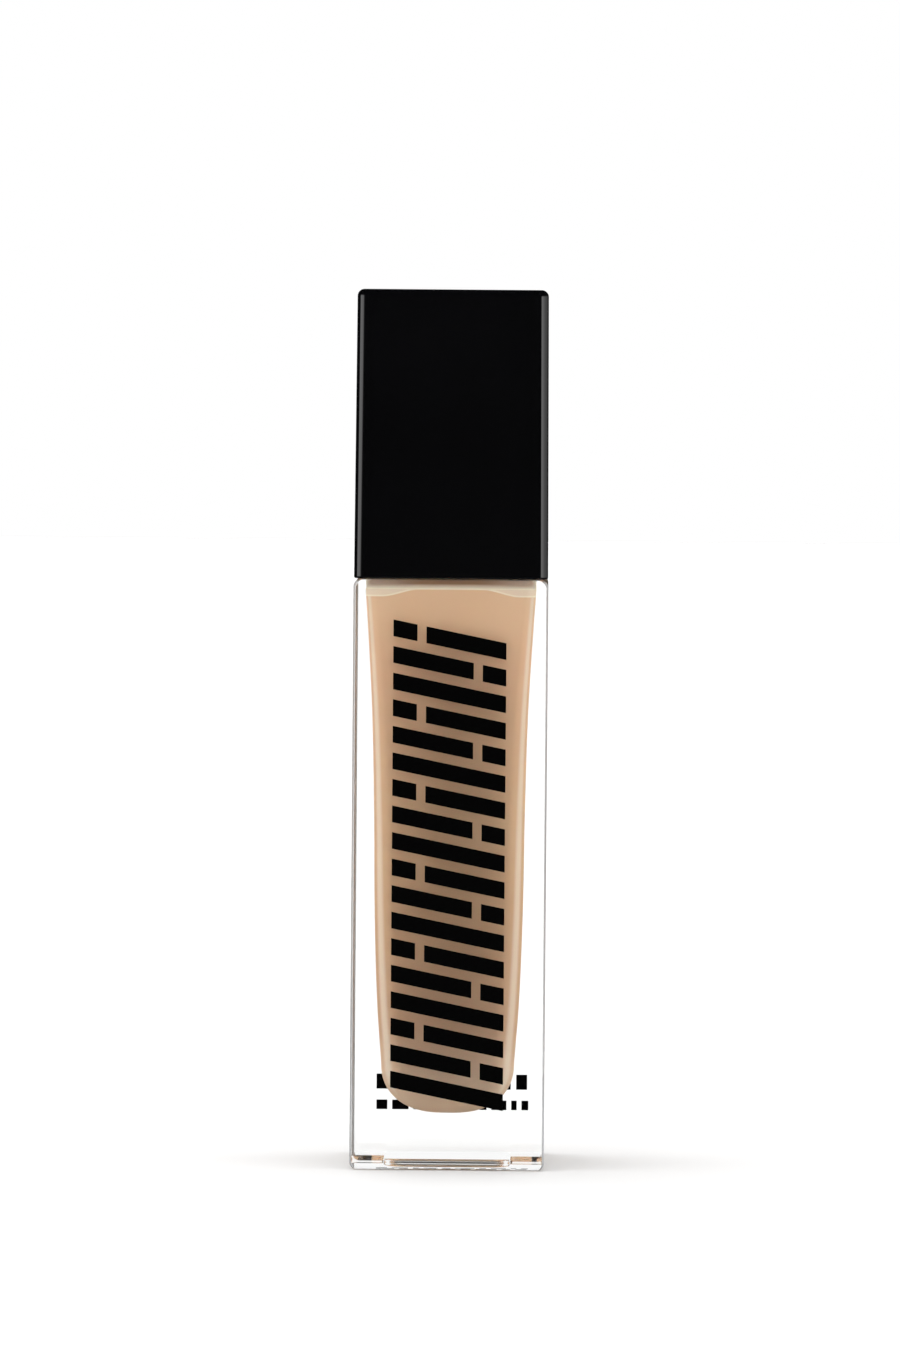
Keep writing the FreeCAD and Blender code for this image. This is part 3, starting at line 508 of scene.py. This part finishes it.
def wall_sections(steps=6):
    """The wall's sections on a smooth curve through the named heights, with their tilts."""
    out = []
    for index in range(len(WALL) - 1):
        before = WALL[max(index - 1, 0)]
        start, end = WALL[index], WALL[index + 1]
        after = WALL[min(index + 2, len(WALL) - 1)]
        span = end[0] - start[0]
        for step in range(steps + (index == len(WALL) - 2)):
            share = step / steps
            cube, square = share ** 3, share ** 2
            values = []
            for key in (1, 2):
                slope_in = (end[key] - before[key]) / (end[0] - before[0]) * span
                slope_out = (after[key] - start[key]) / (after[0] - start[0]) * span
                values.append(
                    (2 * cube - 3 * square + 1) * start[key] + (cube - 2 * square + share) * slope_in
                    + (3 * square - 2 * cube) * end[key] + (cube - square) * slope_out)
            out.append((start[0] + span * share, values[0], values[1]))
    tilted = []
    for index, (height, half, corner) in enumerate(out):
        low, high = out[max(index - 1, 0)], out[min(index + 1, len(out) - 1)]
        lean = math.degrees(math.atan2(high[1] - low[1], high[0] - low[0]))
        tilted.append((height, half, corner, -lean))
    return tilted


def bowl_sections(skin):
    """The bowl from near its lowest point up to the rim, grown outwards by the skin."""
    rim_z, rim_half, rim_corner = WALL[0]
    depth = rim_z - FLOOR_Z + skin
    width = rim_half + skin
    out = []
    for degrees in range(86, 3, -4):
        angle = math.radians(degrees)
        across = math.cos(angle) ** BOWL_POWER
        down = math.sin(angle) ** BOWL_POWER
        steep = math.atan2(width * down ** 1.3, depth * across ** 1.3)
        out.append((rim_z - depth * down, width * across, (rim_corner + skin) * across,
                    -math.degrees(steep)))
    return out


# ---------------------------------------------------------------- liquid

SKIN = 0.12             # the liquid wets the glass, so it reaches just past the chamber's wall
MOUTH_HALF = 5.5        # where the square roof has become round, at the throat
LIQUID_TOP_Z = 84.65
BORE_CLEARANCE = 4.62   # round the pump's barrel, down to its shoulder
BORE_END_Z = 79.30
SPIGOT_CLEARANCE = 2.72
SPIGOT_TOP_Z = 76.90
SPIGOT_END_Z = 67.90
TUBE_CLEARANCE = 1.72
TUBE_TOP_Z = SPIGOT_END_Z - 0.1
TUBE_HOLE_Z = FLOOR_Z + 1.15


def well_rings():
    """Over the rim at the throat, then down the hole that the pump and its dip tube stand in."""
    return [ring(height, radius, None, tilt) for height, radius, tilt in (
        (LIQUID_TOP_Z - 0.05, 5.12, 70), (LIQUID_TOP_Z, 4.95, 90), (LIQUID_TOP_Z, BORE_CLEARANCE, 135),
        (BORE_END_Z, BORE_CLEARANCE, 180), (SPIGOT_TOP_Z, SPIGOT_CLEARANCE, 180),
        (SPIGOT_END_Z, SPIGOT_CLEARANCE, 180), (TUBE_TOP_Z, TUBE_CLEARANCE, 180),
        (TUBE_HOLE_Z, TUBE_CLEARANCE, 135),
    )]


def liquid_rings():
    rings = [ring(*section) for section in bowl_sections(SKIN)]
    for height, half, corner, tilt in wall_sections():
        rings.append(ring(height, half + SKIN, corner + SKIN, tilt))
    wall_z, wall_half, wall_corner = WALL[-1]
    edge = wall_half + SKIN - ROOF_ROUND
    for height, half, tilt in bend(edge, wall_z + SKIN, ROOF_ROUND, 9, 86, 8):
        shrink = wall_half + SKIN - half
        rings.append(ring(height, half, wall_corner - shrink * ROOF_SHARPENING, tilt))
    for share in (0.12, 0.25, 0.4, 0.55, 0.7, 0.85, 1.0):
        half = edge + (MOUTH_HALF - edge) * share
        square_corner = wall_corner - ROOF_ROUND * ROOF_SHARPENING
        corner = square_corner + (half - square_corner) * share ** 0.8
        rise = ROOF_RISE * share ** 1.4
        rings.append(ring(wall_z + SKIN + ROOF_ROUND + rise, half, min(corner, half - 0.01), 88))
    return rings + well_rings()


def make_liquid(materials):
    floor = (Vector((0, 0, FLOOR_Z - SKIN)) * MM, Vector((0, 0, -1)))
    tube_end = (Vector((0, 0, TUBE_HOLE_Z)) * MM, Vector((0, 0, 1)))
    liquid = solid_from_rings("liquid", liquid_rings(), floor, tube_end)
    liquid.data.materials.append(materials["foundation"])
    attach(liquid, "bottle")
    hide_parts("foundation_fill")


# ---------------------------------------------------------------- glass

GLASS_HALF = 14.0
GLASS_TOP = 85.0
EDGE = 0.34             # upright edges
SHOULDER_ROUND = 1.0
FOOT_ROUND = 1.1
PUNT_HALF = 9.2         # the recess under the base
PUNT_DEPTH = 1.3
PUNT_CORNER = 2.6
PUNT_ROUND = 0.4
NECK_RADIUS = 7.85
NECK_FILLET = 1.0       # where the neck meets the shoulder
NECK_TOP = 100.6
NECK_BORE = 5.0
LIP_ROUND = 0.6
MOUTH_ROUND = 0.3
THREAD_START = GLASS_TOP + 6.2
THREAD_PITCH = 3.175
THREAD_TURNS = 2.0
THREAD_DEPTH = 1.0
THREAD_CREST = 0.8
THREAD_ROOT = 1.9
THREAD_RUN_OUT = 0.06   # turns over which each end fades
THREAD_ZONE = (GLASS_TOP + 4.6, NECK_TOP - 1.2)
THREAD_RING_STEP = 0.15
SLOPE_STEP = 0.05       # half the height over which the thread's slope is measured
THROAT_ROUND = 1.6


def thread_lift(angle, height):
    """How far the thread stands out of the neck at a place on it."""
    turn = (angle % (2 * math.pi)) / (2 * math.pi)
    best = 0.0
    for whole in range(int(THREAD_TURNS)):
        along = turn + whole
        middle = THREAD_START + THREAD_PITCH * along
        off = abs(height - middle)
        flank = (THREAD_ROOT / 2 - off) / (THREAD_ROOT / 2 - THREAD_CREST / 2)
        ends = min(along / THREAD_RUN_OUT, (THREAD_TURNS - along) / THREAD_RUN_OUT, 1.0)
        best = max(best, THREAD_DEPTH * min(max(flank, 0.0), 1.0) * ends)
    return best


def thread_rings():
    """The neck's cylinder with its thread as a raised field, on even fine rings."""
    low, high = THREAD_ZONE
    count = round((high - low) / THREAD_RING_STEP)
    rings = []
    for level in range(count + 1):
        height = low + (high - low) * level / count
        one = []
        for point, normal in round_outline(1.0):
            angle = math.atan2(normal.y, normal.x)
            reach = NECK_RADIUS + thread_lift(angle, height)
            above, below = (thread_lift(angle, height + off) for off in (SLOPE_STEP, -SLOPE_STEP))
            fall = (above - below) / (2 * SLOPE_STEP)
            place = Vector((normal.x * reach, normal.y * reach, height)) * MM
            one.append((place, Vector((normal.x, normal.y, -fall)).normalized()))
        rings.append(one)
    return rings


def glass_base_rings():
    inner = PUNT_HALF - PUNT_ROUND
    rings = [ring(PUNT_DEPTH, inner * share, PUNT_CORNER * share, -90) for share in (0.4, 0.8)]
    for height, half, tilt in bend(inner, PUNT_DEPTH - PUNT_ROUND, PUNT_ROUND, 90, 0, 6, True):
        rings.append(ring(height, half, PUNT_CORNER - (PUNT_HALF - half), tilt))
    for height, half, tilt in bend(PUNT_HALF + PUNT_ROUND, PUNT_ROUND, PUNT_ROUND, 180, 270, 6):
        rings.append(ring(height, half, PUNT_CORNER + (half - PUNT_HALF), tilt))
    flat = GLASS_HALF - FOOT_ROUND
    for height, half, tilt in bend(flat, FOOT_ROUND, FOOT_ROUND, -90, 0, 12):
        rings.append(ring(height, half, EDGE - (GLASS_HALF - half) * 0.3, tilt))
    return rings


def glass_shoulder_rings():
    rings = []
    for height in (4.0, 12.0, 24.0, 40.0, 56.0, 70.0, 78.0):
        rings.append(ring(height, GLASS_HALF, EDGE, 0))
    flat = GLASS_HALF - SHOULDER_ROUND
    for height, half, tilt in bend(flat, GLASS_TOP - SHOULDER_ROUND, SHOULDER_ROUND, 0, 90, 12):
        rings.append(ring(height, half, EDGE + tilt / 90 * 0.5, tilt))
    rings.append(ring(GLASS_TOP, NECK_RADIUS + 2.6, 7.5, 90))
    for height, half, tilt in bend(
            NECK_RADIUS + NECK_FILLET, GLASS_TOP + NECK_FILLET, NECK_FILLET, 270, 180, 8, True):
        rings.append(ring(height, half, None, tilt))
    return rings


def glass_mouth_rings():
    rings = []
    for height, half, tilt in bend(
            NECK_RADIUS - LIP_ROUND, NECK_TOP - LIP_ROUND, LIP_ROUND, 0, 90, 8):
        rings.append(ring(height, half, None, tilt))
    for height, half, tilt in bend(
            NECK_BORE + MOUTH_ROUND, NECK_TOP - MOUTH_ROUND, MOUTH_ROUND, 90, 180, 4):
        rings.append(ring(height, half, None, tilt))
    throat_half = NECK_BORE + THROAT_ROUND
    for height, half, tilt in bend(throat_half, ROOF_Z + THROAT_ROUND, THROAT_ROUND, 180, 270, 8):
        rings.append(ring(height, half, None, tilt))
    wall_z, wall_half, wall_corner = WALL[-1]
    flat = wall_half - ROOF_ROUND
    for height, half, tilt in bend(flat, wall_z, ROOF_ROUND, 90, 9, 9, True):
        rings.append(ring(height, half, wall_corner - (wall_half - half) * 0.6, tilt))
    return rings


def glass_chamber_rings():
    rings = [ring(height, half, corner, tilt + 180)
             for height, half, corner, tilt in reversed(wall_sections())]
    rings += [ring(height, half, corner, tilt + 180)
              for height, half, corner, tilt in reversed(bowl_sections(0.0))]
    return rings


def mark_upright_edges(glass):
    """The second material, the painted edge shade, goes on the outer faces that are turned to a
    corner.
    """
    for face in glass.data.polygons:
        x, y, height = (abs(value) / MM for value in face.center)
        turned = min(abs(face.normal.x), abs(face.normal.y))
        if max(x, y) > GLASS_HALF - 1.0 and height < GLASS_TOP and turned > 0.12:
            face.material_index = 1


def make_glass(materials):
    rings = glass_base_rings() + glass_shoulder_rings() + thread_rings()
    rings += glass_mouth_rings() + glass_chamber_rings()
    punt = (Vector((0, 0, PUNT_DEPTH)) * MM, Vector((0, 0, -1)))
    floor = (Vector((0, 0, FLOOR_Z)) * MM, Vector((0, 0, 1)))
    glass = solid_from_rings("glass", rings, punt, floor)
    glass.data.materials.append(materials["clear_glass"])
    glass.data.materials.append(materials["glass_edge_shade"])
    mark_upright_edges(glass)
    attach(glass, "bottle")
    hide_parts("glass_bottle")


# ---------------------------------------------------------------- return spring

SPRING_RADIUS = 2.62    # of the coil, to the wire's middle
SPRING_WIRE = 0.25      # the wire's own radius
SPRING_TURNS = 7.0
SPRING_LOW_Z = 81.30
SPRING_LENGTH = 10.0
SPRING_STEPS = 36       # points in each turn
CLOSED_TURNS = 0.8      # at each end, lying flat
CLOSED_PITCH = 2.1      # wire radii from one closed turn to the next


def spring_height(turn):
    """Height of the wire's middle: flat closing turns at both ends and an even pitch between."""
    low = SPRING_LOW_Z + SPRING_WIRE
    closed = CLOSED_TURNS * SPRING_WIRE * CLOSED_PITCH
    rise = SPRING_LENGTH - 2 * SPRING_WIRE - 2 * closed
    open_turns = SPRING_TURNS - 2 * CLOSED_TURNS
    if turn < CLOSED_TURNS:
        return low + closed * turn / CLOSED_TURNS
    if turn > SPRING_TURNS - CLOSED_TURNS:
        return low + closed + rise + closed * (turn - open_turns - CLOSED_TURNS) / CLOSED_TURNS
    return low + closed + rise * (turn - CLOSED_TURNS) / open_turns


def make_spring(materials):
    curve = bpy.data.curves.new("spring", "CURVE")
    curve.dimensions = "3D"
    curve.bevel_depth = SPRING_WIRE * MM
    curve.bevel_resolution = 4
    curve.use_fill_caps = True
    wire = curve.splines.new("POLY")
    count = round(SPRING_TURNS * SPRING_STEPS)
    wire.points.add(count)
    for index, point in enumerate(wire.points):
        turn = index / SPRING_STEPS
        angle = 2 * math.pi * turn
        place = Vector((SPRING_RADIUS * math.cos(angle), SPRING_RADIUS * math.sin(angle),
                        spring_height(turn))) * MM
        point.co = (*place, 1.0)
    maker = bpy.data.objects.new("spring_maker", curve)
    bpy.context.scene.collection.objects.link(maker)
    data = bpy.data.meshes.new_from_object(maker)
    bpy.data.objects.remove(maker)
    data.shade_smooth()
    spring = bpy.data.objects.new("spring", data)
    bpy.context.scene.collection.objects.link(spring)
    data.materials.clear()
    data.materials.append(materials["spring_steel"])
    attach(spring, "pump")
    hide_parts("return_spring")
    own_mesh(spring)


# ---------------------------------------------------------------- studio


FLOOR_DROP = 0.05 * MM  # a hair of air under the glass
FLOOR_NEAR = -0.9       # metres from the bottle
FLOOR_FAR = 4.0
FLOOR_SIDE = 3.0


def make_floor():
    """White paper to the eye; the bottle's black pieces mirror it as dark."""
    data = bpy.data.meshes.new("floor")
    corners = ((-FLOOR_SIDE, FLOOR_NEAR), (FLOOR_SIDE, FLOOR_NEAR),
               (FLOOR_SIDE, FLOOR_FAR), (-FLOOR_SIDE, FLOOR_FAR))
    data.from_pydata([(x, y, -FLOOR_DROP) for x, y in corners], [], [(0, 1, 2, 3)])
    floor = bpy.data.objects.new("floor", data)
    material, graph, shader = new_surface("floor_paper", IOR=1.3, Roughness=0.7)
    tone = graph.ramp(graph.noise(30.0, 3.0), [(0.3, 0.463), (0.7, 0.469)])
    mirrored = graph.node("ShaderNodeMix", data_type="RGBA")
    path = graph.node("ShaderNodeLightPath").outputs
    reflected = graph.math("SUBTRACT", path["Is Glossy Ray"], path["Is Transmission Ray"], True)
    graph.link(reflected, mirrored.inputs["Factor"])
    graph.link(tone, mirrored.inputs[6])
    mirrored.inputs[7].default_value = (0.02, 0.02, 0.02, 1.0)
    graph.link(mirrored.outputs[2], shader.inputs["Base Color"])
    shader.inputs["Specular IOR Level"].default_value = 0.1
    data.materials.append(material)
    bpy.context.scene.collection.objects.link(floor)


BACKGROUND = 1.0        # what the eye sees behind the bottle
STRIP_LEVEL = 3.6       # soft boxes as the gloss black reflects them
LIGHT_LEVEL = 2.45      # the light that falls on matt surfaces from the sides, at its brightest
OVERHEAD_LEVEL = 3.4    # what a soft box over the bottle adds to that
OVERHEAD_UP = 0.975     # the way to that box: nearly straight up,
OVERHEAD_LEFT = 0.22    # and a little to the left


def mix_floats(graph, share, first, second):
    node = graph.node("ShaderNodeMix", data_type="FLOAT")
    graph.link(share, node.inputs["Factor"])
    graph.feed(node.inputs["A"], first)
    graph.feed(node.inputs["B"], second)
    return node.outputs["Result"]


def make_world():
    """White to the eye and through glass, two tall soft boxes beside the camera for reflections,
    and light from the sides and from one box over the bottle for matt surfaces."""
    scene = bpy.context.scene
    scene.world = bpy.data.worlds.new("studio")
    scene.world.use_nodes = True
    scene.world.cycles.sampling_method = "NONE"
    graph = Graph(scene.world.node_tree)
    split = graph.node("ShaderNodeSeparateXYZ")
    graph.link(graph.node("ShaderNodeTexCoord").outputs["Generated"], split.inputs[0])
    x, y, z = split.outputs
    azimuth = graph.math("ARCTAN2", x, graph.math("MULTIPLY", y, -1.0))
    turn = graph.math("ADD", graph.math("DIVIDE", azimuth, 2 * math.pi), 0.5)

    def at(degrees):
        """A ramp's position for an azimuth, 0 towards the camera and 90 to the right."""
        return degrees / 360 + 0.5

    boxes = graph.ramp(turn, [
        (at(-72), 0.004), (at(-64), 0.95), (at(-50), 0.80), (at(-22), 0.72), (at(-10), 0.10),
        (at(-6), 0.004), (at(5), 0.004), (at(11), 0.90), (at(30), 0.72), (at(60), 0.42),
        (at(105), 0.20), (at(122), 0.004),
    ])
    upper_end = graph.ramp(z, [(0.12, 1.0), (0.32, 0.0)])
    glossy = graph.math("MULTIPLY", graph.math("MULTIPLY", boxes, upper_end), STRIP_LEVEL)
    sides = graph.ramp(turn, [
        (at(-150), 0.80), (at(-95), 0.88), (at(-55), 0.80), (at(-25), 0.62), (at(25), 0.78),
        (at(60), 0.95), (at(100), 0.88), (at(150), 0.80),
    ])
    towards_box = graph.math("SUBTRACT", graph.math("MULTIPLY", z, OVERHEAD_UP),
                             graph.math("MULTIPLY", x, OVERHEAD_LEFT))
    above = graph.ramp(towards_box, [(0.84, 0.0), (0.95, 1.0)])
    above = graph.math("MULTIPLY", above, OVERHEAD_LEVEL)
    falling = graph.math("ADD", graph.math("MULTIPLY", sides, LIGHT_LEVEL), above)

    path = graph.node("ShaderNodeLightPath")
    scattered = graph.math("GREATER_THAN", path.outputs["Diffuse Depth"], 0.5)
    through = mix_floats(graph, scattered, BACKGROUND, falling)
    level = mix_floats(graph, path.outputs["Is Glossy Ray"], falling, glossy)
    level = mix_floats(graph, path.outputs["Is Transmission Ray"], level, through)
    level = mix_floats(graph, path.outputs["Is Camera Ray"], level, BACKGROUND)

    background = graph.node("ShaderNodeBackground")
    background.inputs["Color"].default_value = (1.0, 1.0, 1.0, 1.0)
    graph.link(level, background.inputs["Strength"])
    output = graph.node("ShaderNodeOutputWorld")
    graph.link(background.outputs[0], output.inputs["Surface"])


def set_view():
    scene = bpy.context.scene
    scene.view_settings.view_transform = "Standard"
    scene.view_settings.look = "None"
    scene.cycles.max_bounces = 24
    scene.cycles.diffuse_bounces = 8
    scene.cycles.glossy_bounces = 16
    scene.cycles.transmission_bounces = 24


# ---------------------------------------------------------------- build

set_view()
make_camera()
make_floor()
make_world()
MATERIALS = make_materials()
dress_nodes(MATERIALS)
make_liquid(MATERIALS)
make_glass(MATERIALS)
make_spring(MATERIALS)
